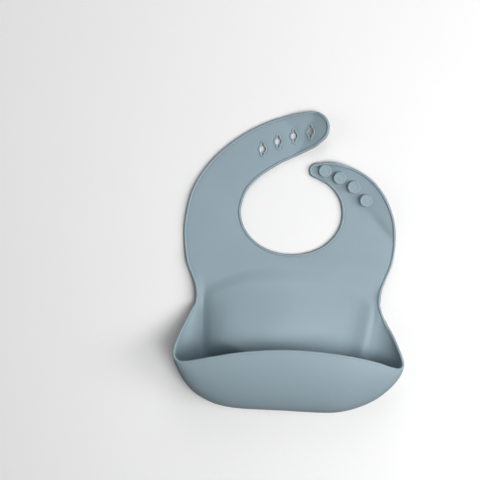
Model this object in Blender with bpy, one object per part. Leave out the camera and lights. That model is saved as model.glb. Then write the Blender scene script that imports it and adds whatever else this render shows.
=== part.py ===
"""Silicone baby bib with a catch pocket, neck opening and button closure.

The bib lies on its back.  +Z is the side that faces the viewer, +Y runs from the pocket
towards the neck, and the origin is the middle of the whole bib on the surface it lies on.
The bib is one soft moulding, so its pieces are the stretches that flex against each other
along living hinges, with the closure studs and the slot collars as pieces of their own.

Every length in this file is in millimetres; make_object scales it to metres.
"""
import math

import bmesh
import bpy
import numpy as np
from mathutils import Vector

MM = 0.001

# ---------------------------------------------------------------- driving dimensions
SHEET = 2.0                  # thickness of the moulded sheet
HALF = SHEET / 2
GAP = 0.3                    # clearance between neighbouring pieces
COLLAR_HEIGHT = 2.6          # slot collars stand a little proud of the sheet
MAX_TURN = math.radians(11)  # outline sampling: turn and length between points
MAX_STEP = 13.0
MIN_STEP = 0.4               # outline points closer than this are joined
FAR = 200.0                  # beyond every edge of the bib, for cutting lines
SHARP_ANGLE = math.radians(40)

WAIST_FOLD_Y = -5.0          # straight fold line between the chest and the pocket
BASE_FOLD_Y = -135.0         # straight fold line between back wall and front wall
BACK_WALL_BULGE = 9.0        # the back wall bows towards the viewer inside the pocket
BULGE_START_Y = -20.0        # it starts to bow here, reaches the full bow after this run
BULGE_RUN = 75.0             # and is flat again at the base fold
BULGE_END_RUN = 40.0

# Neck opening: the lower half is half an ellipse.
NECK_CENTRE = (-1.6, 45.0)
NECK_RADII = (50.4, 41.6)

# Rounded strap ends: centre, radius, first and last angle in degrees.
SLOTTED_TIP = ((14.0, 130.1), 17.2, 105, -55)
STUD_TIP = ((20.8, 88.3), 7.3, 235, 95)

# Outer edges, from the waist up to each strap end.
LEFT_EDGE = [(-92.2, -42.5), (-93.5, -33), (-98, -22), (-103.5, -9), (-107.6, 14),
             (-107.3, 36), (-101.2, 65), (-85, 92.4), (-62, 114.8), (-35.5, 131.8),
             (-12, 141.2)]
RIGHT_EDGE = [(36, 97.1), (51, 94.6), (66, 88.4), (78.7, 79.5), (89, 67.2), (96.3, 53.8),
              (101.5, 38.8), (103.8, 20), (102, 1.5), (96, -16), (91.9, -29),
              (90.3, -42.5)]
# Inner edges between the neck ellipse and each strap end.
LEFT_NECK = [(18.3, 111), (10.9, 107), (-1, 100.7), (-15.5, 93.3), (-34.9, 79.3),
             (-46.7, 65.3)]
RIGHT_NECK = [(45.7, 60), (40.2, 68.2), (32.9, 74.8), (24.7, 78.9)]

# Hinge lines of the straps: outer end, then inner end.
SLOTTED_HINGES = [((-107.5, 30), (-48.5, 30)), ((-98, 72), (-47.3, 63.5)),
                  ((-50, 123.4), (-32, 82))]
STUD_HINGES = [((104, 24), (42, 24)), ((101, 45.5), (48.7, 42))]
HINGE_PARENT_STEP = 40.0     # the parent lies this far below a strap's hinge line
SLOTTED_END_PARENT = (-60, 80)  # a point of the stretch before the slotted end
STUD_STRAP_PARENT = (75, -20)   # a point of the chest below the stud strap

SLOT_CENTRES = [(-34.0, 106.8), (-18.8, 115.0), (-3.2, 121.4), (12.8, 126.2)]
SLOT_LEAN = math.radians(3)
# One quarter of each outline, from its +X end to its +Y end.
SLOT_QUARTER = [(2.95, 0), (2.65, 1.5), (1.7, 2.75), (0.95, 3.6), (0.9, 5.1), (0, 5.85)]
COLLAR_QUARTER = [(4.85, 0), (4.5, 2.3), (3.5, 4.5), (2.6, 6.0), (1.8, 7.5), (0, 8.25)]

STUD_CENTRES = [(29.2, 88.0), (44.1, 81.6), (58.5, 73.3), (71.3, 60.6)]
STUD_SEGMENTS = 20
# Turned outline of a stud, radius and height above its foot: stem, then a round head.
STUD_PROFILE = [(3.2, 0), (3.2, 1.5), (5.8, 1.9), (6.25, 2.7), (6.0, 3.6), (5.2, 4.1)]

# Right half of the pocket, from the lip's middle out to its corner and up to the waist.
# Each station is a line of the wall: foot (x, y), widest point (x, y, z), rim (x, y, z).
POCKET_STATIONS = [
    ((0, -135), (0, -147.4, 17), (0, -85, 45)),
    ((34, -135), (50, -147.0, 17.2), (48, -88.2, 44)),
    ((58, -135), (87, -135.2, 20.5), (85, -95.6, 40.5)),
    ((66, -135), (102.4, -118.2, 24), (98.4, -98.9, 36.2)),
    ((71.5, -127.5), (108.0, -106.2, 29), (106.6, -99.6, 34.6)),
    ((75.5, -118), (109.9, -96.8, 32.4), (110.0, -96.5, 33)),
    ((79.5, -100), (106.2, -80.3, 26.7), (106.2, -80.3, 27.2)),
    ((82, -75), (98.6, -64.2, 17.4), (98.6, -64.2, 17.7)),
    ((84.6, -42.5), (90.6, -41.5, 4.2), (90.6, -41.5, 4.4)),
]
FRONT_END_STATION = 3        # the front wall ends and the gusset begins here
GUSSET_GAP = 1.2             # the gussets' own edges, clear of the walls they fold against
GUSSET_SHEET = 0.8 * SHEET   # thinner than the rest, so that they fold
GUSSET_ORIGIN = (80, -100)

# Back wall, from the waist fold to the base fold: y, half width, middle of the width.
BACK_WALL_EDGE = [(-5, 102.8, -1.8), (-16, 98.2, -2.0), (-28, 93.8, -1.5),
                  (-36.5, 91.4, -0.9), (-42, 83.9, 0), (-70, 81.5, 0), (-100, 78.6, 0),
                  (-114, 75.4, 0), (-124, 70.8, 0), (-133.7, 60, 0)]

SILICONE = (0.345, 0.451, 0.506, 1.0)
SILICONE_DEEP = (0.310, 0.412, 0.467, 1.0)
SILICONE_LIGHT = (0.372, 0.482, 0.537, 1.0)


# ---------------------------------------------------------------- curves and outlines
def arc(centre, radii, start_deg, end_deg, count):
    """Points on an ellipse arc, ends included."""
    angles = np.radians(np.linspace(start_deg, end_deg, count))
    return [(centre[0] + radii[0] * math.cos(a), centre[1] + radii[1] * math.sin(a))
            for a in angles]


def spline(points, steps):
    """Catmull-Rom curve through points of any dimension, with steps points per span."""
    p = np.array(points, float)
    p = np.vstack([2 * p[0] - p[1], p, 2 * p[-1] - p[-2]])
    t = np.linspace(0, 1, steps, endpoint=False)[:, None]
    spans = []
    for a, b, c, d in zip(p[:-3], p[1:-2], p[2:-1], p[3:]):
        spans.append(0.5 * (2 * b + (c - a) * t + (2 * a - 5 * b + 4 * c - d) * t ** 2
                            + (3 * b - a - 3 * c + d) * t ** 3))
    return np.vstack(spans + [p[-2:-1]])


def edge_curves():
    """The left outer edge with the slotted tip, the neck edge, and the right outer edge."""
    tip, radius, first, last = SLOTTED_TIP
    slotted_tip = arc(tip, (radius, radius), first, last, 9)
    tip, radius, first, last = STUD_TIP
    stud_tip = arc(tip, (radius, radius), first, last, 7)
    neck = arc(NECK_CENTRE, NECK_RADII, 172, 368, 15)
    left = spline(LEFT_EDGE + slotted_tip[:5], 24)
    inner = spline(slotted_tip[4:] + LEFT_NECK + neck + RIGHT_NECK + stud_tip[:4], 24)
    right = spline(stud_tip[3:] + RIGHT_EDGE, 24)
    return left, inner, right


def side_of(points, line):
    """Signed distance of each point from a line through two points."""
    a, b = np.array(line[0], float), np.array(line[1], float)
    normal = np.array([a[1] - b[1], b[0] - a[0]]) / np.linalg.norm(b - a)
    return (np.asarray(points) - a) @ normal


def crossing(curve, line):
    """Index and point where a curve crosses a line, at the crossing nearest to its ends."""
    side = side_of(curve, line)
    best = None
    for i in np.nonzero(side[:-1] * side[1:] <= 0)[0]:
        share = side[i] / (side[i] - side[i + 1])
        point = curve[i] + share * (curve[i + 1] - curve[i])
        miss = min(np.linalg.norm(point - np.array(end)) for end in line)
        if best is None or miss < best[0]:
            best = (miss, i, point)
    return best[1], best[2]


def stretch(curve, start_line, end_line):
    """The part of a curve between two lines; None stands for the curve's own end."""
    first, last = 0, len(curve)
    head, tail = [], []
    if start_line is not None:
        index, point = crossing(curve, start_line)
        first, head = index + 1, [point]
    if end_line is not None:
        index, point = crossing(curve, end_line)
        last, tail = index + 1, [point]
    return np.array(head + list(curve[first:last]) + tail)


def thin_out(curve):
    """Keep only the points that the curve's bend and length need."""
    kept, turned, run = [curve[0]], 0.0, 0.0
    for before, here, after in zip(curve[:-2], curve[1:-1], curve[2:]):
        a, b = here - before, after - here
        turned += abs(math.atan2(a[0] * b[1] - a[1] * b[0], float(a @ b)))
        run += float(np.linalg.norm(a))
        if turned > MAX_TURN or run > MAX_STEP:
            kept.append(here)
            turned, run = 0.0, 0.0
    if np.linalg.norm(kept[-1] - curve[-1]) < 1.0 and len(kept) > 1:
        kept.pop()
    return kept + [curve[-1]]


def shifted(line, towards, distance):
    """A line moved sideways by a distance, to the side where the point towards lies."""
    a, b = np.array(line[0], float), np.array(line[1], float)
    normal = np.array([a[1] - b[1], b[0] - a[0]]) / np.linalg.norm(b - a)
    normal *= np.sign(side_of([towards], line)[0])
    return tuple(a + normal * distance), tuple(b + normal * distance)


def parent_end(line, parent_side):
    """Where the parent's rounded end stops: clear of the child's end, which turns."""
    return shifted(line, parent_side, HALF + GAP)


def child_end(line, parent_side):
    """The child's rounded end is centred on the joint axis."""
    return shifted(line, parent_side, HALF)


def joined(*stretches):
    """One closed outline from stretches that run on from each other."""
    points = []
    for part in stretches:
        for point in thin_out(part):
            if not points or np.linalg.norm(point - points[-1]) > MIN_STEP:
                points.append(point)
    if np.linalg.norm(points[0] - points[-1]) < MIN_STEP:
        points.pop()
    return np.array(points)


def four_quarters(quarter, centre, lean, grow=0.0):
    """Outline from one quarter, mirrored twice, turned by lean and put at its centre."""
    half = quarter + [(-x, y) for x, y in reversed(quarter[:-1])]
    full = half + [(-x, -y) for x, y in half[1:-1]]
    points = []
    for x, y in full:
        size = 1 + grow / math.hypot(x, y)
        x, y = x * size, y * size
        points.append((centre[0] + x * math.cos(lean) - y * math.sin(lean),
                       centre[1] + x * math.sin(lean) + y * math.cos(lean)))
    return np.array(points)


# ---------------------------------------------------------------- meshes
def silicone(name, colour):
    material = bpy.data.materials.new(name)
    material.use_nodes = True
    shader = material.node_tree.nodes["Principled BSDF"]
    shader.inputs["Base Color"].default_value = colour
    shader.inputs["Roughness"].default_value = 0.55
    shader.inputs["Metallic"].default_value = 0.0
    return material


def make_object(name, bm, origin, colour):
    """Turn a bmesh in millimetres into an object whose origin is the given point."""
    bmesh.ops.recalc_face_normals(bm, faces=bm.faces)
    for vertex in bm.verts:
        vertex.co = (vertex.co - Vector(origin)) * MM
    mesh = bpy.data.meshes.new(name)
    bm.to_mesh(mesh)
    bm.free()
    mesh.shade_smooth()
    mesh.set_sharp_from_angle(angle=SHARP_ANGLE)
    obj = bpy.data.objects.new(name, mesh)
    obj.location = Vector(origin) * MM
    obj.data.materials.append(silicone(name + "_silicone", colour))
    bpy.context.scene.collection.objects.link(obj)
    return obj


def inset(loop, distance):
    """Move a closed loop into the material on its left by a distance."""
    ahead = np.roll(loop, -1, axis=0) - loop
    ahead /= np.linalg.norm(ahead, axis=1)[:, None]
    left = np.stack([-ahead[:, 1], ahead[:, 0]], axis=1)
    left_before = np.roll(left, 1, axis=0)
    bend = 1 + np.sum(left * left_before, axis=1)
    return loop + (left + left_before) / bend[:, None] * distance


def anticlockwise(loop):
    x, y = loop[:, 0], loop[:, 1]
    area = float(np.sum(x * np.roll(y, -1) - np.roll(x, -1) * y))
    return loop if area > 0 else loop[::-1]


def rounded_sheet(outline, holes=(), height=SHEET, edge=HALF, hole_edge=0.0):
    """A flat sheet on z = 0 with rounded edges, as a stack of inset outlines."""
    loops = [(anticlockwise(outline), edge)]
    loops += [(anticlockwise(hole)[::-1], hole_edge) for hole in holes]
    bm = bmesh.new()
    caps = ([], [])
    for loop, radius in loops:
        rows = []
        for angle in (-90, -45, 0, 45, 90):
            a = math.radians(angle)
            ring = inset(loop, radius * (1 - math.cos(a))) if radius else loop
            if radius:
                z = height / 2 + (height / 2 - radius + radius * abs(math.sin(a))) * (
                    0 if angle == 0 else math.copysign(1, angle))
            elif abs(angle) == 90:
                z = height / 2 * (1 + math.copysign(1, angle))
            else:
                continue
            rows.append([bm.verts.new((x, y, z)) for x, y in ring])
        for low, high in zip(rows, rows[1:]):
            for i in range(len(low)):
                j = (i + 1) % len(low)
                bm.faces.new((low[i], low[j], high[j], high[i]))
        for cap, row in zip(caps, (rows[0], rows[-1])):
            cap += [bm.edges.get((row[i], row[(i + 1) % len(row)])) for i in range(len(row))]
    for cap in caps:
        bmesh.ops.triangle_fill(bm, edges=cap, use_beauty=True)
    return bm


def grid_normals(grid):
    """Unit normals of a grid of points, rows by columns."""
    across = np.gradient(grid, axis=1)
    along = np.gradient(grid, axis=0)
    normal = np.cross(across, along)
    return normal / np.linalg.norm(normal, axis=2)[:, :, None]


def thick_grid(grid, thickness=SHEET):
    """A closed shell of even thickness about a grid of points."""
    normal = grid_normals(grid) * thickness / 2
    rows, columns = grid.shape[:2]
    bm = bmesh.new()
    sides = [[[bm.verts.new(point) for point in row] for row in grid + sign * normal]
             for sign in (1, -1)]
    top, bottom = sides
    for i in range(rows - 1):
        for j in range(columns - 1):
            for s in sides:
                bm.faces.new((s[i][j], s[i][j + 1], s[i + 1][j + 1], s[i + 1][j]))
    rim = [(0, j) for j in range(columns)] + [(i, columns - 1) for i in range(1, rows)]
    rim += [(rows - 1, j) for j in range(columns - 2, -1, -1)]
    rim += [(i, 0) for i in range(rows - 2, 0, -1)]
    for (a, b), (c, d) in zip(rim, rim[1:] + rim[:1]):
        bm.faces.new((top[a][b], top[c][d], bottom[c][d], bottom[a][b]))
    bmesh.ops.recalc_face_normals(bm, faces=bm.faces)
    return bm


def lathe(profile, segments):
    """A solid turned about Z from a profile of radii and heights, foot first."""
    bm = bmesh.new()
    rings = []
    for radius, z in profile:
        turns = [2 * math.pi * k / segments for k in range(segments)]
        rings.append([bm.verts.new((radius * math.cos(a), radius * math.sin(a), z))
                      for a in turns])
    for low, high in zip(rings, rings[1:]):
        for i in range(segments):
            j = (i + 1) % segments
            bm.faces.new((low[i], low[j], high[j], high[i]))
    bm.faces.new(rings[0][::-1])
    bm.faces.new(rings[-1])
    return bm


# ---------------------------------------------------------------- chest and straps
def middle(line):
    return ((line[0][0] + line[1][0]) / 2, (line[0][1] + line[1][1]) / 2, HALF)


def chest_panel(left, inner, right):
    """The flat panel round the lower half of the neck opening."""
    below = (0.0, -FAR)
    fold = shifted(((-FAR, WAIST_FOLD_Y), (FAR, WAIST_FOLD_Y)), (0.0, 0.0), HALF + GAP)
    slotted = parent_end(SLOTTED_HINGES[0], below)
    stud = parent_end(STUD_HINGES[0], below)
    outline = joined(stretch(left, fold, slotted), stretch(inner, slotted, stud),
                     stretch(right, stud, fold))
    return make_object("chest_panel", rounded_sheet(outline), (0, 0, 0), SILICONE_LIGHT)


def strap_segment(name, outer, inner, hinge, next_hinge, colour):
    """A strap stretch between two hinge lines; the neck edge runs back along it."""
    parent_side = (hinge[0][0], hinge[0][1] - HINGE_PARENT_STEP)
    start = child_end(hinge, parent_side)
    end = parent_end(next_hinge, parent_side)
    outline = joined(stretch(outer, start, end), stretch(inner, end, start))
    return make_object(name, rounded_sheet(outline), middle(hinge), colour)


def slotted_strap(left, inner):
    """Three stretches; the last one carries the four slot collars."""
    first, second, third = SLOTTED_HINGES
    strap_segment("slotted_strap_shoulder", left, inner, first, second, SILICONE)
    strap_segment("slotted_strap_middle", left, inner, second, third, SILICONE_LIGHT)
    start = child_end(third, SLOTTED_END_PARENT)
    outline = joined(stretch(left, start, None), stretch(inner, None, start))
    seats = [four_quarters(COLLAR_QUARTER, centre, SLOT_LEAN, GAP)
             for centre in SLOT_CENTRES]
    make_object("slotted_strap_end", rounded_sheet(outline, seats), middle(third), SILICONE)
    for number, centre in enumerate(SLOT_CENTRES, 1):
        collar = four_quarters(COLLAR_QUARTER, centre, SLOT_LEAN)
        slot = four_quarters(SLOT_QUARTER, centre, SLOT_LEAN)
        sheet = rounded_sheet(collar, [slot], COLLAR_HEIGHT, edge=0.0)
        make_object(f"slot_collar_{number}", sheet, (*centre, 0), SILICONE_DEEP)


def stud_strap(inner, right):
    """Two stretches; the last one carries the four closure studs."""
    first, second = STUD_HINGES
    start = child_end(first, STUD_STRAP_PARENT)
    end = parent_end(second, STUD_STRAP_PARENT)
    outline = joined(stretch(inner, start, end), stretch(right, end, start))
    make_object("stud_strap_shoulder", rounded_sheet(outline), middle(first), SILICONE)
    start = child_end(second, STUD_STRAP_PARENT)
    outline = joined(stretch(inner, start, None), stretch(right, None, start))
    make_object("stud_strap_end", rounded_sheet(outline), middle(second), SILICONE_LIGHT)
    for number, centre in enumerate(STUD_CENTRES, 1):
        stud = lathe(STUD_PROFILE, STUD_SEGMENTS)
        foot = (*centre, SHEET + GAP)
        bmesh.ops.translate(stud, verts=stud.verts, vec=foot)
        make_object(f"closure_stud_{number}", stud, foot, SILICONE_DEEP)


# ---------------------------------------------------------------- pocket
def back_wall_height(share, y):
    """Middle of the sheet: flat at the edges, where share is 1, and bowed in the pocket."""
    down = min(max((BULGE_START_Y - y) / BULGE_RUN, 0), 1)
    up = min(max((y - BASE_FOLD_Y) / BULGE_END_RUN, 0), 1)
    ease = [t * t * (3 - 2 * t) for t in (down, up)]
    return HALF + BACK_WALL_BULGE * ease[0] * ease[1] * (1 - share ** 2)


def pocket_back_wall():
    """From the waist fold down to the base fold, a little narrower than the gussets."""
    grid = [[(share * half + centre, y, back_wall_height(share, y))
             for share in np.linspace(-1, 1, 15)]
            for y, half, centre in spline(BACK_WALL_EDGE, 2)]
    make_object("pocket_back_wall", thick_grid(np.array(grid)), (0, WAIST_FOLD_Y, HALF),
                SILICONE)


def pocket_wall_rows(foot, widest, rim, count=5):
    """One line of the pocket wall: a quarter ellipse out, then a quarter ellipse in."""
    foot = np.array([foot[0], foot[1], HALF])
    widest, rim = np.array(widest, float), np.array(rim, float)
    points = []
    for a in np.linspace(0, math.pi / 2, count):
        out, up = math.sin(a), 1 - math.cos(a)
        points.append(foot + (widest - foot) * (out, out, up))
    for a in np.linspace(0, math.pi / 2, count)[1:]:
        back, up = 1 - math.cos(a), math.sin(a)
        points.append(widest + (rim - widest) * (back, back, up))
    return points


def pocket_grid(stations, mirror=1):
    """Wall lines through smoothly spaced stations, on the right or the left side."""
    flat = [(*foot, *widest, *rim) for foot, widest, rim in stations]
    lines = spline(flat, 3)
    side = np.array([mirror, 1, 1])
    return [np.array(pocket_wall_rows(line[:2], line[2:5], line[5:])) * side
            for line in lines]


def pocket_front_wall():
    """Front wall and floor in one, from corner to corner, hinged at the base fold."""
    stations = POCKET_STATIONS[:FRONT_END_STATION + 1]
    right = pocket_grid(stations)
    left = pocket_grid(stations, -1)
    grid = np.array(left[::-1] + right[1:])
    make_object("pocket_front_wall", thick_grid(grid), (0, BASE_FOLD_Y, HALF),
                SILICONE_LIGHT)


def across_row(row, next_row):
    """Unit steps from a row of points towards the next row, square to the row itself."""
    run = np.gradient(row, axis=0)
    run /= np.linalg.norm(run, axis=1)[:, None]
    step = next_row - row
    step -= run * np.sum(run * step, axis=1)[:, None]
    return step / np.linalg.norm(step, axis=1)[:, None]


def pocket_gusset(side_name, mirror):
    """The side wall that folds, from the front wall's end up to the waist."""
    grid = np.array(pocket_grid(POCKET_STATIONS[FRONT_END_STATION:], mirror))
    grid[0] += across_row(grid[0], grid[1]) * GUSSET_GAP
    origin = (mirror * GUSSET_ORIGIN[0], GUSSET_ORIGIN[1], HALF)
    make_object(f"pocket_gusset_{side_name}", trimmed_thin(grid), origin, SILICONE_DEEP)


def trimmed_thin(grid):
    """The gusset's thin shell, with its foot clear of the back wall."""
    line = grid[:, 1] - grid[:, 0]
    grid[:, 0] += line * (GUSSET_GAP / np.linalg.norm(line, axis=1))[:, None]
    return thick_grid(grid, GUSSET_SHEET)


def build():
    for obj in list(bpy.data.objects):
        bpy.data.objects.remove(obj, do_unlink=True)
    left, inner, right = edge_curves()
    chest_panel(left, inner, right)
    slotted_strap(left, inner)
    stud_strap(inner, right)
    pocket_back_wall()
    pocket_front_wall()
    pocket_gusset("left", -1)
    pocket_gusset("right", 1)


build()
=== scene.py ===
"""Looks of the silicone bib: one continuous moulded shell, cut where it rides on the frame.

Lengths of the shape are in millimetres in the row frame (+Z towards the viewer, +Y towards
the neck), and are turned into metres by MM when meshes are made.
"""

import math

import bmesh
import bpy
import numpy as np
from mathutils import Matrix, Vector
from mathutils.geometry import delaunay_2d_cdt


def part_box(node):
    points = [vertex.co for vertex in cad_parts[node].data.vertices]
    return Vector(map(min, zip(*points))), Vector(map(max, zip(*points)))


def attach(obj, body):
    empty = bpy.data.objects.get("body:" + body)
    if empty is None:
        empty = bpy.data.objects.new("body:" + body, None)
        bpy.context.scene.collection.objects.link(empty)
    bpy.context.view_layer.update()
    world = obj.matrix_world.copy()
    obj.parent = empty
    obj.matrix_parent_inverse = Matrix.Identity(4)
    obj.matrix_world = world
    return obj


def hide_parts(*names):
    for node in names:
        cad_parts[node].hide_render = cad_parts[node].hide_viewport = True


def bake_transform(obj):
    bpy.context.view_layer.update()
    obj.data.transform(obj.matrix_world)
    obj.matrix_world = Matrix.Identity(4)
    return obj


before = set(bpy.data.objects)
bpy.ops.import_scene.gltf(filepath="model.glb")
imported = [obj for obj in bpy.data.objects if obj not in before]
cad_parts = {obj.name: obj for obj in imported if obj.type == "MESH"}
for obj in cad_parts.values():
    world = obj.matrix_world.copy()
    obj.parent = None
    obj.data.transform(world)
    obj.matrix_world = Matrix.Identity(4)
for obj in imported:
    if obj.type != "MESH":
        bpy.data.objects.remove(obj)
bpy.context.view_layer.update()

MM = 0.001


def node_centre(node):
    low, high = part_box(node)
    return [(a + b) / 2 / MM for a, b in zip(low, high)]


# ------------------------------------------------------------------ sizes from the frame
SHEET = (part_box("chest_panel")[1][2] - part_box("chest_panel")[0][2]) / MM
HALF = SHEET / 2
LIP_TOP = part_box("pocket_front_wall")[1][2] / MM
SLOT_CENTRES = [node_centre(f"slot_collar_{n}")[:2] for n in range(1, 5)]
STUD_CENTRES = [node_centre(f"closure_stud_{n}")[:2] for n in range(1, 5)]

# ------------------------------------------------------------------ outline of the sheet
# Arcs: centre, radii, from and to in degrees, number of points.
NECK = ((-1.6, 45.0), (50.4, 41.6), 172, 368, 15)
SLOTTED_TIP = ((13.9, 129.6), (17.0, 17.0), 105, -55, 9)
STUD_TIP = ((20.8, 88.3), (7.3, 7.3), 235, 95, 7)
LEFT_EDGE = [(-92.2, -42.5), (-93.5, -33), (-98, -22), (-103.5, -9), (-107.6, 14),
             (-107.3, 36), (-101.2, 65), (-85, 92.4), (-62, 114.8), (-35.5, 131.8),
             (-12, 141.2)]
RIGHT_EDGE = [(36, 97.1), (51, 94.6), (66, 88.4), (78.7, 79.5), (89, 67.2), (96.3, 53.8),
              (101.5, 38.8), (103.8, 20), (102, 1.5), (96, -16), (91.9, -29),
              (90.3, -42.5)]
LEFT_NECK = [(18.3, 111), (10.9, 107), (-1, 100.7), (-15.5, 93.3), (-34.9, 79.3),
             (-46.7, 65.3)]
RIGHT_NECK = [(45.7, 60), (40.2, 68.2), (32.9, 74.8), (24.7, 78.9)]

SLOT_LEAN = math.radians(3)
SLOT_QUARTER = [(2.7, 0), (2.5, 1.3), (1.75, 2.4), (0.85, 3.1), (0.68, 4.1), (0.64, 5.2),
                (0, 5.9)]
COLLAR_QUARTER = [(4.5, 0), (4.2, 2.0), (3.1, 3.6), (2.5, 5.0), (2.35, 6.4), (1.4, 7.6),
                  (0, 8.1)]

# Lines down the pocket's wall, from the lip's middle out to the corner and up to the
# waist: foot (x, y), widest point (x, y, z), rim (x, y, height below the lip's top).
LIP_MIDDLE = ((0, -135), (0, -150.3, 5), (0, -85.2, 0))
RIGHT_STATIONS = [
    ((17, -135), (25.5, -150.5, 5), (24.0, -85.4, 0.2)),
    ((34, -135), (50.9, -149.5, 5.5), (48.0, -87.2, 1.2)),
    ((48, -135), (71.0, -144.0, 6.5), (68.0, -89.9, 3.4)),
    ((59, -134.6), (88.3, -134.6, 9), (85.0, -93.4, 5.8)),
    ((67.5, -132), (100.0, -123.5, 13), (97.2, -97.1, 8.2)),
    ((73, -126.5), (107.3, -112.1, 19), (105.6, -98.6, 10.4)),
    ((74.8, -119), (110.5, -101.8, 26.5), (109.9, -96.3, 12.8)),
    ((76.2, -110), (110.3, -91.6, 30.0), (110.3, -91.6, 15.0)),
    ((77.4, -98), (106.5, -81.7, 27.5), (106.5, -81.7, 17.5)),
    ((79.4, -84), (102.2, -71.0, 21.5), (102.2, -71.0, 23.5)),
    ((81.6, -68), (96.7, -60.4, 16.0), (96.7, -60.4, 29.0)),
    ((83.8, -54), (92.6, -50.4, 10.6), (92.6, -50.4, 34.4)),
    ((85.4, -42.5), (90.3, -42.5, 8.6), (90.3, -42.5, 36.4)),
]
LEFT_STATIONS = [
    ((-17, -135), (-24.7, -150.5, 5), (-24.0, -86.8, 0.2)),
    ((-34, -135), (-48.7, -150.0, 5.5), (-48.0, -90.4, 1.4)),
    ((-48, -135), (-68.7, -146.2, 6.5), (-68.0, -94.8, 3.4)),
    ((-59, -134.6), (-86.5, -137.1, 9), (-85.0, -99.2, 5.8)),
    ((-67.5, -132), (-97.2, -125.8, 13), (-96.0, -101.8, 7.9)),
    ((-73, -126.5), (-103.9, -113.4, 19), (-103.1, -102.0, 9.4)),
    ((-76, -119), (-108.2, -101.7, 27), (-107.6, -98.5, 11.2)),
    ((-77.8, -110), (-109.0, -93.6, 29.0), (-109.0, -93.6, 16.0)),
    ((-79.3, -98), (-106.2, -83.1, 22.5), (-106.2, -83.1, 22.5)),
    ((-80.7, -84), (-101.6, -71.5, 16.5), (-101.6, -71.5, 28.5)),
    ((-82, -68), (-96.9, -60.7, 12.2), (-96.9, -60.7, 32.8)),
    ((-83, -54), (-93.3, -50.3, 8.6), (-93.3, -50.3, 36.4)),
    ((-84.2, -42.5), (-92.2, -42.5, 6.0), (-92.2, -42.5, 39.0)),
]


# ------------------------------------------------------------------ curves
def arc(centre, radii, start_deg, end_deg, count):
    angles = np.radians(np.linspace(start_deg, end_deg, count))
    return [(centre[0] + radii[0] * math.cos(a), centre[1] + radii[1] * math.sin(a))
            for a in angles]


def catmull_rom(p, steps):
    """Curve through all but the first and last of the points, last end left out."""
    t = np.linspace(0, 1, steps, endpoint=False)[:, None]
    spans = []
    for a, b, c, d in zip(p[:-3], p[1:-2], p[2:-1], p[3:]):
        spans.append(0.5 * (2 * b + (c - a) * t + (2 * a - 5 * b + 4 * c - d) * t ** 2
                            + (3 * b - a - 3 * c + d) * t ** 3))
    return np.vstack(spans)


def spline(points, steps):
    """Smooth open curve through points of any dimension, with steps points per span."""
    p = np.array(points, float)
    p = np.vstack([2 * p[0] - p[1], p, 2 * p[-1] - p[-2]])
    return np.vstack([catmull_rom(p, steps), p[-2:-1]])


def lengths_along(curve):
    """Distance of each point from the first, measured along the curve."""
    steps = np.linalg.norm(np.diff(curve, axis=0), axis=1)
    return np.concatenate([[0], np.cumsum(steps)])


def evenly(curve, spacing):
    """The same curve with points about spacing apart, ends kept."""
    run = lengths_along(curve)
    count = max(2, int(round(run[-1] / spacing)) + 1)
    places = np.linspace(0, run[-1], count)
    return np.stack([np.interp(places, run, curve[:, k]) for k in range(curve.shape[1])],
                    axis=1)


def smoothstep(value, low, high):
    t = np.clip((np.asarray(value, float) - low) / (high - low), 0, 1)
    return t * t * (3 - 2 * t)


# ------------------------------------------------------------------ height of the sheet
# A pair says where a smoothstep starts and ends, except that a BEND is the before and
# after of soft_ramp(), a LINE is a point on that line and FACING is a direction.
ARCH_TOP_Y = -11.5           # the recess below the chest starts at this soft arch
ARCH_DROP = 21.0
ARCH_HALF_WIDTH = 81.0
ARCH_POWER = 2.6
LEFT_CREASE = (83.0, 0.054, -39, 0, 70)      # see crease()
RIGHT_CREASE = (84.5, 0.16, -45, -20, 60)
RECESS_DEPTH = 1.5
RECESS_BELOW = (-3, 21)      # distance below the arch
RECESS_WITHIN = (-2.0, 16)   # distance inside the creases
RIDGE_LIFT = 2.4             # the sheet stands off the table above the arch
RIDGE_RUN = (12, -9)
RIDGE_LOSS = 0.4             # and less so towards the lip
RIDGE_LOSS_RUN = (-60, -120)

BULGE = 20.5                 # the back wall bows towards the viewer
BULGE_RUN_IN = 13            # it rises over this distance from the left crease
BULGE_FADE = 0.62            # and loses this share towards the right
BULGE_FADE_RUN = (-25, 64)
BULGE_UPPER = 0.28           # share reached below the arch
BULGE_UPPER_RUN = (-2, 13)
BULGE_LOWER = 0.72           # share added further down
BULGE_LOWER_RUN = (22, 74)
LIP_SAG = 13                 # the bow ends along a line that follows the lip
LIP_SAG_WIDTH = 85
CORNER_RUN = (25, 78)
DROP_START = -22
DROP_END = -8
DROP_CORNER = 22             # longer drop at the corners
RIGHT_RISE = 0.13            # the wall turns up again towards the right crease
RIGHT_RISE_START = 16
RIGHT_RISE_BEND = (16, 12)
RIGHT_RISE_RUN = (26, 62)
RIGHT_FALL = 2.8             # step down at the right crease
RIGHT_FALL_WIDTH = (-3.5, 3)
RIGHT_FALL_RUN = (30, 62)

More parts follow.
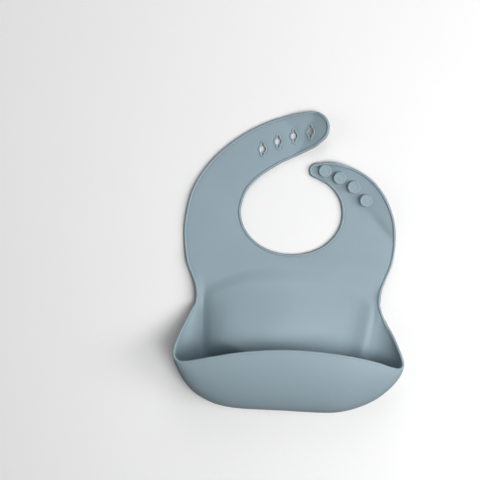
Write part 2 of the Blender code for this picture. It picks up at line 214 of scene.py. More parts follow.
WAIST_EDGE = 91.5            # the outer edge turns up towards the waist
WAIST_EDGE_LEAN = 0.16
WAIST_EDGE_FROM = 40
WAIST_EDGE_LENGTH = 60
WAIST_TURN_WIDTH = 9
WAIST_TURN_UP = 2.6
WAIST_TURN_RUN = (-14, -40)
TIP_LINE = (3.9, 112.7)      # the slotted end curls up beyond a slanting line
TIP_LEAN = 0.39
TIP_SLOPE = 0.29
TIP_BEND = (7, 7)
TIP_RUN = (92, 104)
SHOULDER_LINE = (72.6, 50.0)  # so does the stud strap outside a line across this point
SHOULDER_FACING = (0.71, 0.70)
SHOULDER_SLOPE = 0.19
SHOULDER_BEND = (4, 6)
SHOULDER_RUN = (8, 40)
SHOULDER_LIFT = 1.5          # most of all low down
SHOULDER_LIFT_WIDTH = (-2, 9)
SHOULDER_LOW_X = (70, 95)
SHOULDER_LOW_Y = (12, 32)
WAVE_HEIGHT = 0.9            # soft waves of the lying silicone, on the long strap
WAVE_X = (40, 108)
WAVE_Y = (0, 50)
WAVE_START = 18
WAVE_LENGTH = 17.0


def crease(y, waist_x, lean, waist_y, shortest, longest):
    """Distance of a side crease from the middle: it leans inwards below the waist."""
    return waist_x - lean * np.clip(waist_y - y, shortest, longest)


def arch_y(x):
    return ARCH_TOP_Y - ARCH_DROP * np.abs(x / ARCH_HALF_WIDTH) ** ARCH_POWER


def soft_ramp(distance, before, after):
    """0 behind a line and the distance in front of it, with a soft bend between."""
    return distance * smoothstep(distance, -before, after)


def recess_share(x, y):
    """0 on the chest and the gusset strips, 1 well inside the recess of the back wall."""
    below = smoothstep(arch_y(x) - y, *RECESS_BELOW)
    inwards = np.where(x < 0, crease(y, *LEFT_CREASE) + x, crease(y, *RIGHT_CREASE) - x)
    return below * smoothstep(inwards, *RECESS_WITHIN)


def back_wall_bulge(x, y):
    """Rises fast from the left crease, sinks slowly to the right, drops into the pocket."""
    from_left = np.clip(x + crease(y, *LEFT_CREASE), 0, None)
    past_right = x - crease(y, *RIGHT_CREASE)
    across = 1 - np.exp(-from_left / BULGE_RUN_IN)
    across = across * (1 - BULGE_FADE * smoothstep(x, *BULGE_FADE_RUN))
    along = (BULGE_UPPER * smoothstep(arch_y(x) - y, *BULGE_UPPER_RUN)
             + BULGE_LOWER * smoothstep(-y, *BULGE_LOWER_RUN))
    lip = LIP_MIDDLE[2][1] - LIP_SAG * (x / LIP_SAG_WIDTH) ** 2
    corner = smoothstep(np.abs(x), *CORNER_RUN)
    drop = smoothstep(y - lip, DROP_START, DROP_END + DROP_CORNER * corner)
    right_rise = RIGHT_RISE * soft_ramp(past_right + RIGHT_RISE_START, *RIGHT_RISE_BEND)
    right_rise = right_rise * smoothstep(-y, *RIGHT_RISE_RUN)
    crease_fall = RIGHT_FALL * smoothstep(past_right, *RIGHT_FALL_WIDTH)
    crease_fall = crease_fall * smoothstep(-y, *RIGHT_FALL_RUN)
    return (BULGE * across * along + right_rise - crease_fall) * drop


def sheet_height(x, y):
    """Height of the middle of the sheet over the flat part of the bib."""
    x, y = np.asarray(x, float), np.asarray(y, float)
    lift = RIDGE_LIFT * smoothstep(y, *RIDGE_RUN)
    lift = lift * (1 - RIDGE_LOSS * smoothstep(y, *RIDGE_LOSS_RUN))
    height = HALF + lift - RECESS_DEPTH * recess_share(x, y) + back_wall_bulge(x, y)
    # The outer edge at the waist.
    edge = WAIST_EDGE + WAIST_EDGE_LEAN * np.clip(y + WAIST_EDGE_FROM, 0,
                                                  WAIST_EDGE_LENGTH)
    turned_up = smoothstep(np.abs(x), edge - WAIST_TURN_WIDTH, edge)
    height = height + WAIST_TURN_UP * turned_up * smoothstep(y, *WAIST_TURN_RUN)
    # The slotted end.
    beyond = (x - TIP_LINE[0]) - TIP_LEAN * (y - TIP_LINE[1])
    height = height + TIP_SLOPE * soft_ramp(beyond, *TIP_BEND) * smoothstep(y, *TIP_RUN)
    # The stud strap.
    outside = ((x - SHOULDER_LINE[0]) * SHOULDER_FACING[0]
               + (y - SHOULDER_LINE[1]) * SHOULDER_FACING[1])
    slope = SHOULDER_SLOPE * soft_ramp(outside, *SHOULDER_BEND)
    height = height + slope * smoothstep(y, *SHOULDER_RUN)
    low_down = smoothstep(x, *SHOULDER_LOW_X) * smoothstep(y, *SHOULDER_LOW_Y)
    height = height + SHOULDER_LIFT * smoothstep(outside, *SHOULDER_LIFT_WIDTH) * low_down
    # The waves.
    wavy = WAVE_HEIGHT * smoothstep(-x, *WAVE_X) * smoothstep(y, *WAVE_Y)
    height = height + wavy * (0.5 + 0.5 * np.sin((y - WAVE_START) / WAVE_LENGTH))
    return np.maximum(height, HALF)


# ------------------------------------------------------------------ middle surface
EDGE_ROWS = [0, 0.1, 0.28, 0.55, 0.95, 1.45, 1.9, 2.15, 2.35, 2.6, 3.1, 3.9, 5.0]
BEAD = [0, 0.7, 1.25, 1.65, 1.92, 2.05, 1.98, 1.6, 1.0, 0.8, 0.9, 1, 1]
PLAIN = [0, 0.45, 0.75, 0.93, 1, 1, 1, 1, 1, 1, 1, 1, 1]
LIP_BEAD = [0, 0.5, 0.85, 1.08, 1.2, 1.22, 1.15, 1.08, 1.03, 1, 1, 1, 1]
COLLAR_ROWS = [0, 0.06, 0.16, 0.34, 0.6, 0.8, 0.9, 0.97, 1.06, 1.2]
COLLAR_BEAD = [0, 0.8, 1.35, 1.65, 1.75, 1.7, 1.5, 1.15, 0.84, 1]
COLLAR_PLAIN = [0, 0.6, 0.9, 1, 1, 1, 1, 1, 1, 1]
EDGE_STEPS = 24              # curve points per span of the outline
EDGE_SPACING = 1.7
STATION_STEPS = 14           # curve points per span of the wall's stations
WALL_SPACING = 2.1
WALL_ROWS = 28
PROFILE_STEPS = 40           # points on each half of a wall line
LEAST_FOOT = 0.6             # least length of a wall line below its edge rows
GRID_SPACING = 2.3
EDGE_CLEARANCE = 0.62        # of the grid spacing
HOLE_CLEARANCE = 0.5
SLOT_STEPS = 3               # curve points per span of a slot's outline
RIM_CHANGE = (5, 22)         # rim heights over which the sheet's bead becomes the lip's
FOLD_REACH = (1.0, 4.5)      # distances from the wall's foot over which relaxing fades
RELAX_ROUNDS = 14
RELAX_STEP = 0.5
FILL_TOLERANCE = 1e-5
LEAST_AREA = 1e-7
WALL_ROUNDNESS = 1.1         # 1 is an ellipse, less is fuller at the shoulder
WAIST_RUN_OUT = 18.0         # length of rim over which the wall runs into the sheet
RIM_MERGE = 3.0              # rim height above the widest point where they start to meet
GUSSET_HOLLOW = 1.5          # 1 is an ellipse, more keeps the wall's foot flatter
HOLLOW_SHIFT = 0.0055        # per millimetre to the right: the right gusset is less hollow


class Surface:
    """Vertices and faces of the middle surface, with the sheet's half thicknesses."""

    def __init__(self):
        self.points, self.faces, self.top, self.bottom = [], [], [], []
        self.on_edge = []

    def add(self, point, top=1.0, bottom=1.0, edge=False):
        self.points.append(tuple(float(c) for c in point))
        self.top.append(top)
        self.bottom.append(bottom)
        self.on_edge.append(edge)
        return len(self.points) - 1

    def quad(self, a, b, c, d):
        self.faces.append((d, c, b, a))


def flat_edges():
    """Left outer edge from the waist, neck edge and right outer edge, as one run."""
    run = LEFT_EDGE + arc(*SLOTTED_TIP) + LEFT_NECK + arc(*NECK)
    run += RIGHT_NECK + arc(*STUD_TIP) + RIGHT_EDGE
    return evenly(spline(run, EDGE_STEPS), EDGE_SPACING)


def inward_normals(curve):
    """The bib lies to the right of its edge when that runs from the left waist round."""
    ahead = np.gradient(curve, axis=0)
    ahead /= np.linalg.norm(ahead, axis=1)[:, None]
    normal = np.stack([ahead[:, 1], -ahead[:, 0]], axis=1)
    normal[0], normal[-1] = (1, 0), (-1, 0)
    return normal


def wall_line(foot, widest, rim):
    """Points of one wall line, foot to rim, with the last rows at the edge distances."""
    a = np.linspace(0, math.pi / 2, PROFILE_STEPS)[:, None]
    out, up = np.sin(a), (1 - np.cos(a)) ** (GUSSET_HOLLOW - HOLLOW_SHIFT * foot[0])
    lower = foot + (widest - foot) * np.hstack([out, out, up])
    back, rise = 1 - np.cos(a) ** WALL_ROUNDNESS, np.sin(a) ** WALL_ROUNDNESS
    upper = widest + (rim - widest) * np.hstack([back, back, rise])
    line = np.vstack([lower, upper[1:]])
    run = lengths_along(line)
    total = run[-1]
    edge_share = min(1.0, (total - LEAST_FOOT) / EDGE_ROWS[-1])
    edges = [total - d * edge_share for d in EDGE_ROWS]
    places = list(np.linspace(0, edges[-1], WALL_ROWS, endpoint=False)) + edges[::-1]
    return np.stack([np.interp(places, run, line[:, k]) for k in range(3)], axis=1)


def laid_flat(line):
    """The same line, straight in plan with its rows kept apart, lying on the sheet."""
    run = lengths_along(line)
    flat = line[0] + (line[-1] - line[0]) * (run / run[-1])[:, None]
    flat[:, 2] = sheet_height(flat[:, 0], flat[:, 1])
    return flat


def pocket_lines():
    """Wall lines from the right waist round the lip to the left waist."""
    stations = RIGHT_STATIONS[::-1] + [LIP_MIDDLE] + LEFT_STATIONS
    fine = spline([(*foot, *widest, *rim) for foot, widest, rim in stations],
                  STATION_STEPS)
    run = lengths_along(fine[:, 5:8])
    places = np.linspace(0, run[-1], int(run[-1] / WALL_SPACING))
    lines = []
    for place in places:
        row = np.array([np.interp(place, run, fine[:, k]) for k in range(8)])
        foot = np.array([row[0], row[1], sheet_height(row[0], row[1])])
        rim = np.array([row[5], row[6], LIP_TOP - HALF - row[7]])
        # Where the rim comes down to the widest place the two become one point, so that
        # the line never doubles back under its own rim.
        apart = smoothstep(rim[2] - row[4], 0, RIM_MERGE)
        line = wall_line(foot, rim + (row[2:5] - rim) * apart, rim)
        # At the waist the wall runs smoothly out of the sheet.
        share = smoothstep(min(place, run[-1] - place), 0, WAIST_RUN_OUT)
        lines.append(line * share + laid_flat(line) * (1 - share))
    return np.array(lines)


def four_quarters(quarter, centre):
    """Closed outline of a slot or its collar, mirrored from one quarter and turned."""
    half = quarter + [(-x, y) for x, y in reversed(quarter[:-1])]
    full = np.array(half + [(-x, -y) for x, y in half[1:-1]])
    c, s = math.cos(SLOT_LEAN), math.sin(SLOT_LEAN)
    turned = np.stack([full[:, 0] * c - full[:, 1] * s, full[:, 0] * s + full[:, 1] * c],
                      axis=1) + centre
    return catmull_rom(np.vstack([turned[-1:], turned, turned[:2]]), SLOT_STEPS)


def inside(points, polygon):
    """Which of the points lie inside a closed polygon."""
    x, y = points[:, 0][:, None], points[:, 1][:, None]
    x0, y0 = polygon[:, 0], polygon[:, 1]
    x1, y1 = np.roll(x0, -1), np.roll(y0, -1)
    spans = (y0 > y) != (y1 > y)
    with np.errstate(divide="ignore", invalid="ignore"):
        cross = x < (x1 - x0) * (y - y0) / (y1 - y0) + x0
    return (spans & cross).sum(axis=1) % 2 == 1


def far_from(points, polygon, distance):
    """Which points keep a distance from the polygon's corners."""
    keep = np.ones(len(points), bool)
    for start in range(0, len(polygon), 64):
        block = polygon[start:start + 64]
        gaps = np.linalg.norm(points[:, None, :] - block[None, :, :], axis=2)
        keep &= gaps.min(axis=1) > distance
    return keep


def middle_surface():
    surface = Surface()
    # Edge band of the flat part.
    edge = flat_edges()
    normal = inward_normals(edge)
    band = []
    for point, side in zip(edge, normal):
        column = []
        for row, distance in enumerate(EDGE_ROWS):
            x, y = point + side * distance
            column.append(surface.add((x, y, sheet_height(x, y)), BEAD[row], PLAIN[row],
                                      row == 0))
        band.append(column)
    for here, ahead in zip(band, band[1:]):
        for k in range(len(EDGE_ROWS) - 1):
            surface.quad(here[k], ahead[k], ahead[k + 1], here[k + 1])
    # Walls of the pocket; the first and last line share their edge rows with the band.
    lines = pocket_lines()
    edge_count = len(EDGE_ROWS)
    walls = []
    for number, line in enumerate(lines):
        waist = 1 - smoothstep(line[-1][2], *RIM_CHANGE)
        column = []
        for row, point in enumerate(line):
            from_rim = len(line) - 1 - row
            shared = None
            if from_rim < edge_count and number in (0, len(lines) - 1):
                shared = band[-1 if number == 0 else 0][from_rim]
            if shared is not None:
                surface.points[shared] = tuple(point)
                column.append(shared)
            elif from_rim < edge_count:
                above, below = LIP_BEAD[from_rim], LIP_BEAD[from_rim]
                above += (BEAD[from_rim] - above) * waist
                below += (PLAIN[from_rim] - below) * waist
                column.append(surface.add(point, above, below, from_rim == 0))
            else:
                column.append(surface.add(point))
        walls.append(column)
    for here, ahead in zip(walls, walls[1:]):
        for k in range(len(here) - 1):
            surface.quad(here[k + 1], ahead[k + 1], ahead[k], here[k])
    # Slot collars.
    collars = []
    for centre in SLOT_CENTRES:
        slot = four_quarters(SLOT_QUARTER, centre)
        collar = four_quarters(COLLAR_QUARTER, centre)
        rings = []
        for row, share in enumerate(COLLAR_ROWS):
            ring = slot + (collar - slot) * share
            rings.append([surface.add((x, y, sheet_height(x, y)), COLLAR_BEAD[row],
                                      COLLAR_PLAIN[row], row == 0) for x, y in ring])
        for inner, outer in zip(rings, rings[1:]):
            for i in range(len(inner)):
                j = (i + 1) % len(inner)
                surface.quad(inner[i], inner[j], outer[j], outer[i])
        collars.append(rings[-1])
    # The rest of the flat part is filled between these runs.
    run = [column[-1] for column in band] + walls[0][:-edge_count][::-1]
    run += [column[0] for column in walls[1:-1]] + walls[-1][:-edge_count]
    fill(surface, run, collars)
    return surface, walls


def fill(surface, run, holes):
    """Triangles between the outer run and the holes, with an even grid of points inside."""
    rings = [run] + holes
    flat = np.array(surface.points)[:, :2]
    polygon = flat[run]
    low, high = polygon.min(axis=0), polygon.max(axis=0)
    grid = []
    rise = GRID_SPACING * math.sqrt(3) / 2
    for row in range(int((high[1] - low[1]) / rise) + 2):
        shift = GRID_SPACING / 2 * (row % 2)
        for column in range(int((high[0] - low[0]) / GRID_SPACING) + 2):
            grid.append((low[0] + column * GRID_SPACING + shift, low[1] + row * rise))
    grid = np.array(grid)
    keep = inside(grid, polygon) & far_from(grid, polygon, GRID_SPACING * EDGE_CLEARANCE)
    for hole in holes:
        keep &= ~inside(grid, flat[hole])
        keep &= far_from(grid, flat[hole], GRID_SPACING * HOLE_CLEARANCE)
    ids = [index for ring in rings for index in ring]
    edges, start = [], 0
    for ring in rings:
        edges += [(start + i, start + (i + 1) % len(ring)) for i in range(len(ring))]
        start += len(ring)
    ids += [surface.add((x, y, sheet_height(x, y))) for x, y in grid[keep]]
    flat = np.array(surface.points)[:, :2]
    coords = [Vector(flat[i]) for i in ids]
    found = delaunay_2d_cdt(coords, edges, [], 0, FILL_TOLERANCE)
    where, triangles, origins = found[0], found[2], found[3]
    back = []
    for index, sources in enumerate(origins):
        if sources:
            back.append(ids[sources[0]])
        else:
            x, y = where[index]
            back.append(surface.add((x, y, sheet_height(x, y))))
    flat = np.array(surface.points)[:, :2]
    corners = np.array([[back[i] for i in triangle] for triangle in triangles])
    centres = flat[corners].mean(axis=1)
    wanted = inside(centres, polygon)
    for hole in holes:
        wanted &= ~inside(centres, flat[hole])
    for a, b, c in corners[wanted]:
        pa, pb, pc = flat[a], flat[b], flat[c]
        area = (pb[0] - pa[0]) * (pc[1] - pa[1]) - (pb[1] - pa[1]) * (pc[0] - pa[0])
        if abs(area) > LEAST_AREA:
            surface.faces.append((a, b, c) if area > 0 else (a, c, b))


def relax(points, faces, weight):
    """Even out the surface where weight is above 0, so that creases turn soft."""
    pairs = set()
    for face in faces:
        for a, b in zip(face, face[1:] + face[:1]):
            pairs.add((min(a, b), max(a, b)))
    pairs = np.array(sorted(pairs))
    count = np.zeros(len(points))
    np.add.at(count, pairs[:, 0], 1)
    np.add.at(count, pairs[:, 1], 1)
    count[count == 0] = 1
    for _ in range(RELAX_ROUNDS):
        total = np.zeros_like(points)
        np.add.at(total, pairs[:, 0], points[pairs[:, 1]])
        np.add.at(total, pairs[:, 1], points[pairs[:, 0]])
        points = points + (total / count[:, None] - points) * weight[:, None] * RELAX_STEP
    return points


def vertex_normals(points, faces):
    """Unit normals of the points, larger faces counting for more."""
    normals = np.zeros_like(points)
    for face in faces:
        corners = points[list(face)]
        turn = np.cross(corners[1] - corners[0], corners[2] - corners[0])
        if len(face) == 4:
            turn = np.cross(corners[2] - corners[0], corners[3] - corners[1])
        for index in face:
            normals[index] += turn
    length = np.linalg.norm(normals, axis=1)
    length[length == 0] = 1
    return normals / length[:, None]


def foot_weight(points, walls):
    """1 near the foot line of the pocket's walls, 0 away from it."""
    feet = points[[column[0] for column in walls]]
    nearest = np.full(len(points), 1e9)
    for start in range(0, len(feet), 32):
        gaps = np.linalg.norm(points[:, None, :] - feet[None, start:start + 32, :], axis=2)
        nearest = np.minimum(nearest, gaps.min(axis=1))
    return 1 - smoothstep(nearest, *FOLD_REACH)


def bib_shell():
    """The whole moulding as one closed bmesh in metres, with its normals kept."""
    surface, walls = middle_surface()
    points = np.array(surface.points)
    faces = [tuple(int(i) for i in face) for face in surface.faces]
    on_edge = np.array(surface.on_edge)
    weight = foot_weight(points, walls)
    weight[on_edge | (np.array(surface.top) != 1.0)] = 0
    points = relax(points, faces, weight)
    normals = vertex_normals(points, faces)
    top = points + normals * (np.array(surface.top) * HALF)[:, None]
    bottom = points - normals * (np.array(surface.bottom) * HALF)[:, None]
    used = sorted({index for face in faces for index in face})
    bm = bmesh.new()
    top_vertices, bottom_vertices = {}, {}
    for index in used:
        top_vertices[index] = bm.verts.new(Vector(top[index]) * MM)
        bottom_vertices[index] = top_vertices[index]
        if not on_edge[index]:
            bottom_vertices[index] = bm.verts.new(Vector(bottom[index]) * MM)
    for face in faces:
        bm.faces.new([top_vertices[i] for i in face])
        bm.faces.new([bottom_vertices[i] for i in reversed(face)])
    bm.normal_update()
    kept = bm.verts.layers.float_vector.new("kept_normal")
    for vertex in bm.verts:
        vertex[kept] = vertex.normal
    bm.faces.layers.int.new("cap")
    return bm


# ------------------------------------------------------------------ cutting into pieces
MERGE = 2e-6                 # metres; cut points closer than this become one
CUT_TOLERANCE = 1e-7         # metres
# Cutting planes: a point in millimetres and the direction of the part in front.
POCKET_CUT = ((0, -20, 0), (0, 1, 0))
STRAPS_CUT = ((0, 10, 0), (0, 1, 0))
SLOTTED_CUTS = (((-75, 50, 0), (0, 1, 0)), ((-62, 86, 0), (0.62, 0.7846, 0)))
STUD_CUT = ((70, 33.5, 0), (0, 1, 0))


def cut_off(bm, point, normal):
    """Split a closed bmesh by a plane: returns (part behind, part in front), both capped."""
    parts = []
    for clear_outer in (True, False):
        part = bm.copy()
        geometry = part.verts[:] + part.edges[:] + part.faces[:]
        done = bmesh.ops.bisect_plane(part, geom=geometry, dist=CUT_TOLERANCE,
                                      plane_co=Vector(point) * MM, plane_no=normal,
                                      clear_outer=clear_outer,
                                      clear_inner=not clear_outer)
        rims = [item for item in done["geom_cut"] if isinstance(item, bmesh.types.BMVert)]
        bmesh.ops.remove_doubles(part, verts=rims, dist=MERGE)
        rims = [edge for edge in part.edges if edge.is_boundary]
        caps = bmesh.ops.triangle_fill(part, edges=rims, use_beauty=True)["geom"]
        flag = part.faces.layers.int["cap"]
        for item in caps:
            if isinstance(item, bmesh.types.BMFace):
                item[flag] = 1
        outward = Vector(normal) if clear_outer else -Vector(normal)
        for item in caps:
            if isinstance(item, bmesh.types.BMFace) and item.normal.dot(outward) < 0:
                item.normal_flip()
        parts.append(part)
    return parts


def loose_parts(bm):
    """Separate bmeshes of the pieces that hang together, left one first."""
    groups, seen = [], set()
    for vertex in bm.verts:
        if vertex in seen:
            continue
        group, stack = {vertex}, [vertex]
        while stack:
            for edge in stack.pop().link_edges:
                for other in edge.verts:
                    if other not in group:
                        group.add(other)
                        stack.append(other)
        seen |= group
        groups.append({v.index for v in group})
    parts = []
    for group in groups:
        part = bm.copy()
        part.verts.ensure_lookup_table()
        gone = [v for v in part.verts if v.index not in group]
        bmesh.ops.delete(part, geom=gone, context="VERTS")
        parts.append(part)
    return sorted(parts, key=lambda part: min(v.co.x for v in part.verts))


def make_piece(name, bm, material):
    """Mesh object of a bmesh, shaded with the normals of the uncut shell where it has them."""
    mesh = bpy.data.meshes.new(name)
    bm.to_mesh(mesh)
    mesh.shade_smooth()
    obj = bpy.data.objects.new(name, mesh)
    bpy.context.scene.collection.objects.link(obj)
    kept = mesh.attributes.get("kept_normal")
    if kept:
        wanted = np.zeros(len(mesh.vertices) * 3)
        kept.data.foreach_get("vector", wanted)
        wanted = wanted.reshape(-1, 3)
        wanted /= np.maximum(np.linalg.norm(wanted, axis=1), 1e-9)[:, None]
        caps = mesh.attributes.get("cap")
        normals = []
        for polygon in mesh.polygons:
            is_cap = bool(caps and caps.data[polygon.index].value)
            for index in polygon.vertices:
                normals.append(tuple(polygon.normal) if is_cap else tuple(wanted[index]))
        mesh.normals_split_custom_set(normals)
        mesh.attributes.remove(mesh.attributes["kept_normal"])
        if mesh.attributes.get("cap"):
            mesh.attributes.remove(mesh.attributes["cap"])
    mesh.materials.append(material)
    return obj


# ------------------------------------------------------------------ materials
def silicone_material():
    material = bpy.data.materials.new("matt_silicone")
    material.use_nodes = True
    nodes, links = material.node_tree.nodes, material.node_tree.links
    shader = nodes["Principled BSDF"]
    shader.inputs["Metallic"].default_value = 0.0
    shader.inputs["IOR"].default_value = 1.41
    shader.inputs["Specular IOR Level"].default_value = 0.45
    shader.inputs["Sheen Weight"].default_value = 0.12
    shader.inputs["Sheen Roughness"].default_value = 0.45
    place = nodes.new("ShaderNodeTexCoord")
    # Broad drift of the colour, as pigment and a thin bloom give it.
    drift = nodes.new("ShaderNodeTexNoise")
    drift.inputs["Scale"].default_value = 14.0
    drift.inputs["Detail"].default_value = 3.0
    tint = nodes.new("ShaderNodeValToRGB")
    tint.color_ramp.elements[0].position = 0.32
    tint.color_ramp.elements[0].color = (0.290, 0.382, 0.432, 1)
    tint.color_ramp.elements[1].position = 0.70
    tint.color_ramp.elements[1].color = (0.310, 0.405, 0.455, 1)
    links.new(place.outputs["Object"], drift.inputs["Vector"])
    links.new(drift.outputs["Fac"], tint.inputs["Fac"])
    # A few specks of lint and dust.
    specks = nodes.new("ShaderNodeTexVoronoi")
    specks.inputs["Scale"].default_value = 85.0
    specks.inputs["Randomness"].default_value = 1.0
    size = nodes.new("ShaderNodeMath")
    size.operation = "LESS_THAN"
    size.inputs[1].default_value = 0.022
    links.new(place.outputs["Object"], specks.inputs["Vector"])
    links.new(specks.outputs["Distance"], size.inputs[0])
    darker = nodes.new("ShaderNodeMix")
    darker.data_type = "RGBA"
    darker.inputs[7].default_value = (0.16, 0.21, 0.24, 1)
    links.new(size.outputs["Value"], darker.inputs[0])
    links.new(tint.outputs["Color"], darker.inputs[6])
    links.new(darker.outputs[2], shader.inputs["Base Color"])
    # Handled silicone is a little glossier in patches.
    patches = nodes.new("ShaderNodeTexNoise")
    patches.inputs["Scale"].default_value = 38.0
    patches.inputs["Detail"].default_value = 4.0
    gloss = nodes.new("ShaderNodeMapRange")
    gloss.inputs["To Min"].default_value = 0.50
    gloss.inputs["To Max"].default_value = 0.62
    links.new(place.outputs["Object"], patches.inputs["Vector"])
    links.new(patches.outputs["Fac"], gloss.inputs["Value"])
    links.new(gloss.outputs["Result"], shader.inputs["Roughness"])
    # Fine spark-eroded mould texture.
    grain = nodes.new("ShaderNodeTexNoise")
    grain.inputs["Scale"].default_value = 1500.0
    grain.inputs["Detail"].default_value = 2.0
    bump = nodes.new("ShaderNodeBump")
    bump.inputs["Strength"].default_value = 0.12
    bump.inputs["Distance"].default_value = 0.0002
    links.new(place.outputs["Object"], grain.inputs["Vector"])
    links.new(grain.outputs["Fac"], bump.inputs["Height"])
    links.new(bump.outputs["Normal"], shader.inputs["Normal"])
    return material


GLOW_RUN = (0.4, 2.2)        # metres from the origin over which the table starts to glow
FAR_FLOOR_GLOW = 0.85


def floor_material():
    material = bpy.data.materials.new("pale_table")
    material.use_nodes = True
    nodes, links = material.node_tree.nodes, material.node_tree.links
    shader = nodes["Principled BSDF"]
    shader.inputs["Roughness"].default_value = 0.8
    place = nodes.new("ShaderNodeTexCoord")
    cloud = nodes.new("ShaderNodeTexNoise")
    cloud.inputs["Scale"].default_value = 6.0
    tone = nodes.new("ShaderNodeValToRGB")
    tone.color_ramp.elements[0].color = (0.93, 0.93, 0.93, 1)
    tone.color_ramp.elements[1].color = (0.96, 0.96, 0.96, 1)
    links.new(place.outputs["Object"], cloud.inputs["Vector"])
    links.new(cloud.outputs["Fac"], tone.inputs["Fac"])
    links.new(tone.outputs["Color"], shader.inputs["Base Color"])
    # The lamps only reach the table near the bib, so the far table glows a little instead.
    distance = nodes.new("ShaderNodeVectorMath")
    distance.operation = "LENGTH"
    glow = nodes.new("ShaderNodeMapRange")
    glow.inputs["From Min"].default_value = GLOW_RUN[0]
    glow.inputs["From Max"].default_value = GLOW_RUN[1]
    glow.inputs["To Max"].default_value = FAR_FLOOR_GLOW
    links.new(place.outputs["Object"], distance.inputs[0])
    links.new(distance.outputs["Value"], glow.inputs["Value"])
    links.new(glow.outputs["Result"], shader.inputs["Emission Strength"])
    return material


# ------------------------------------------------------------------ closure studs
STUD_SEGMENTS = 72
STUD_SUNK = 0.05             # foot of the stud inside the sheet
MARK_HEIGHT = 0.16           # small raised lozenge in the sunk middle of the head
MARK_REACH = 2.3
MARK_EDGE = 0.5
HEAD_FROM = 3                # rings above this height belong to the top of the head


def stud_profile(top):
    """Radius and height of a stud: flared foot, stem, round head, ring and sunk middle."""
    stem, head = 3.1, 6.25
    profile = [(4.4, 0.0), (3.6, 0.2), (3.2, 0.5), (stem, 0.8), (3.2, 1.05)]
    profile += [(3.6, 1.2), (4.6, 1.3), (5.4, 1.35)]
    profile += [(head - 0.75 + 0.75 * math.cos(a), 2.07 + 0.72 * math.sin(a))
                for a in np.linspace(-1.3, 0, 5)]
    profile += [(head - 0.95 + 0.95 * math.cos(a), top - 0.95 + 0.95 * math.sin(a))
                for a in np.linspace(0, 1.45, 7)]
    profile += [(4.9, top), (4.45, top - 0.03), (4.15, top - 0.16), (3.9, top - 0.24)]
    profile += [(r, top - 0.24) for r in (3.4, 2.9, 2.4, 2.0, 1.6, 1.2, 0.8, 0.4)]
    return profile


def stud(number, material):
    centre = STUD_CENTRES[number - 1]
    low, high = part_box(f"closure_stud_{number}")
    base = float(sheet_height(*centre)) + HALF - STUD_SUNK
    height = (high[2] - low[2]) / MM
    bm = bmesh.new()
    rings = []
    for radius, z in stud_profile(height):
        ring = []
        for k in range(STUD_SEGMENTS):
            a = 2 * math.pi * k / STUD_SEGMENTS
            x, y = radius * math.cos(a), radius * math.sin(a)
            mark = MARK_HEIGHT * float(smoothstep(MARK_REACH - abs(x) - abs(y),
                                                  0, MARK_EDGE))
            ring.append(bm.verts.new(Vector((centre[0] + x, centre[1] + y,
                                             base + z + mark * (z > HEAD_FROM))) * MM))
        rings.append(ring)
    for below, above in zip(rings, rings[1:]):
        for i in range(STUD_SEGMENTS):
            j = (i + 1) % STUD_SEGMENTS
            bm.faces.new((below[i], below[j], above[j], above[i]))
    bm.faces.new(rings[0][::-1])
    bm.faces.new(rings[-1])
    obj = make_piece(f"stud_{number}", bm, material)
    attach(obj, "stud_end")
    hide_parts(f"closure_stud_{number}")


# ------------------------------------------------------------------ the bib's pieces
def blend_at(obj):
    """Bake a piece's placement into its mesh."""
    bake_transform(obj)


def build_bib():
    silicone = silicone_material()
    shell = bib_shell()
    pocket, upper = cut_off(shell, *POCKET_CUT)
    waist, straps = cut_off(upper, *STRAPS_CUT)
    left, right = loose_parts(straps)
    slotted_1, left = cut_off(left, *SLOTTED_CUTS[0])
    slotted_2, slotted_3 = cut_off(left, *SLOTTED_CUTS[1])
    stud_1, stud_2 = cut_off(right, *STUD_CUT)

    obj = make_piece("bib_chest", waist, silicone)
    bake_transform(obj)
    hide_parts("chest_panel")
    obj = make_piece("bib_pocket", pocket, silicone)
    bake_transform(obj)
    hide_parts("pocket_back_wall", "pocket_front_wall", "pocket_gusset_left",
                "pocket_gusset_right")
    obj = make_piece("slotted_strap_lower", slotted_1, silicone)
    blend_at(obj)
    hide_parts("slotted_strap_shoulder")
    obj = make_piece("slotted_strap_bend", slotted_2, silicone)
    blend_at(obj)
    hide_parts("slotted_strap_middle")
    obj = make_piece("slotted_strap_tip", slotted_3, silicone)
    blend_at(obj)
    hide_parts("slotted_strap_end", *[f"slot_collar_{n}" for n in range(1, 5)])
    obj = make_piece("stud_strap_lower", stud_1, silicone)
    blend_at(obj)
    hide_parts("stud_strap_shoulder")
    obj = make_piece("stud_strap_tip", stud_2, silicone)
    blend_at(obj)
    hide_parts("stud_strap_end")
    for number in range(1, 5):
        stud(number, silicone)


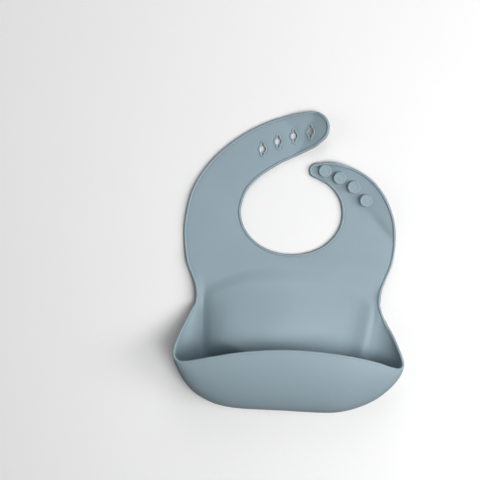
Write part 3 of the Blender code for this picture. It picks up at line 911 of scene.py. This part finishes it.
# ------------------------------------------------------------------ stage, light, camera
# Metres, degrees and watts.
FLOOR_REACH = 20.0           # from the middle of the table to each side
FLOOR_DROP = 0.0003
LIGHT_DISTANCE = 1.3
LIGHTS = [                   # name, azimuth, elevation, size, power
    ("side", 0, 32, 0.6, 7.6),
    ("key", -30, 55, 0.7, 6.6),
    ("overhead", -32, 70, 0.8, 4.9),
    ("top", 90, 25, 0.8, 5.6),
    ("left", 180, 25, 0.8, 2.8),
]
WORLD_LIGHT = 0.02
CAMERA_HEIGHT = 0.700
CAMERA_OVER = (-0.0514, 0.0151)
CAMERA_TURN = 3.1
FIELD = 0.480                # width of the table that the camera sees
SENSOR = 36                  # millimetres


def direction(azimuth, elevation):
    """Unit vector towards a light; azimuth 0 is the bib's right side."""
    a, e = math.radians(azimuth), math.radians(elevation)
    return Vector((math.cos(e) * math.cos(a), math.cos(e) * math.sin(a), math.sin(e)))


def area_light(name, azimuth, elevation, size, power):
    """A square soft box aimed at the bib."""
    light = bpy.data.lights.new(name, "AREA")
    light.shape = "SQUARE"
    light.size = size
    light.energy = power
    obj = bpy.data.objects.new(name, light)
    place = LIGHT_DISTANCE * direction(azimuth, elevation)
    obj.location = place
    obj.rotation_euler = (-place).to_track_quat("-Z", "Y").to_euler()
    bpy.context.scene.collection.objects.link(obj)


def stage():
    bm = bmesh.new()
    bmesh.ops.create_grid(bm, x_segments=8, y_segments=8, size=FLOOR_REACH)
    mesh = bpy.data.meshes.new("floor")
    bm.to_mesh(mesh)
    bm.free()
    floor = bpy.data.objects.new("floor", mesh)
    floor.location = (0, 0, -FLOOR_DROP)
    # The table throws no light back onto the bib, which keeps its undersides dark.
    floor.visible_diffuse = False
    floor.visible_glossy = False
    mesh.materials.append(floor_material())
    bpy.context.scene.collection.objects.link(floor)


def lights():
    for light in LIGHTS:
        area_light(*light)
    world = bpy.data.worlds.new("soft_room")
    world.use_nodes = True
    backdrop = world.node_tree.nodes["Background"]
    backdrop.inputs["Color"].default_value = (1, 1, 1, 1)
    backdrop.inputs["Strength"].default_value = WORLD_LIGHT
    bpy.context.scene.world = world
    bpy.context.scene.view_settings.view_transform = "Standard"


def camera():
    data = bpy.data.cameras.new("camera")
    data.sensor_width = SENSOR
    data.lens = SENSOR * CAMERA_HEIGHT / FIELD
    obj = bpy.data.objects.new("camera", data)
    obj.location = (*CAMERA_OVER, CAMERA_HEIGHT)
    obj.rotation_euler = (0, 0, math.radians(CAMERA_TURN))
    bpy.context.scene.collection.objects.link(obj)
    bpy.context.scene.camera = obj


camera()
lights()
stage()
build_bib()
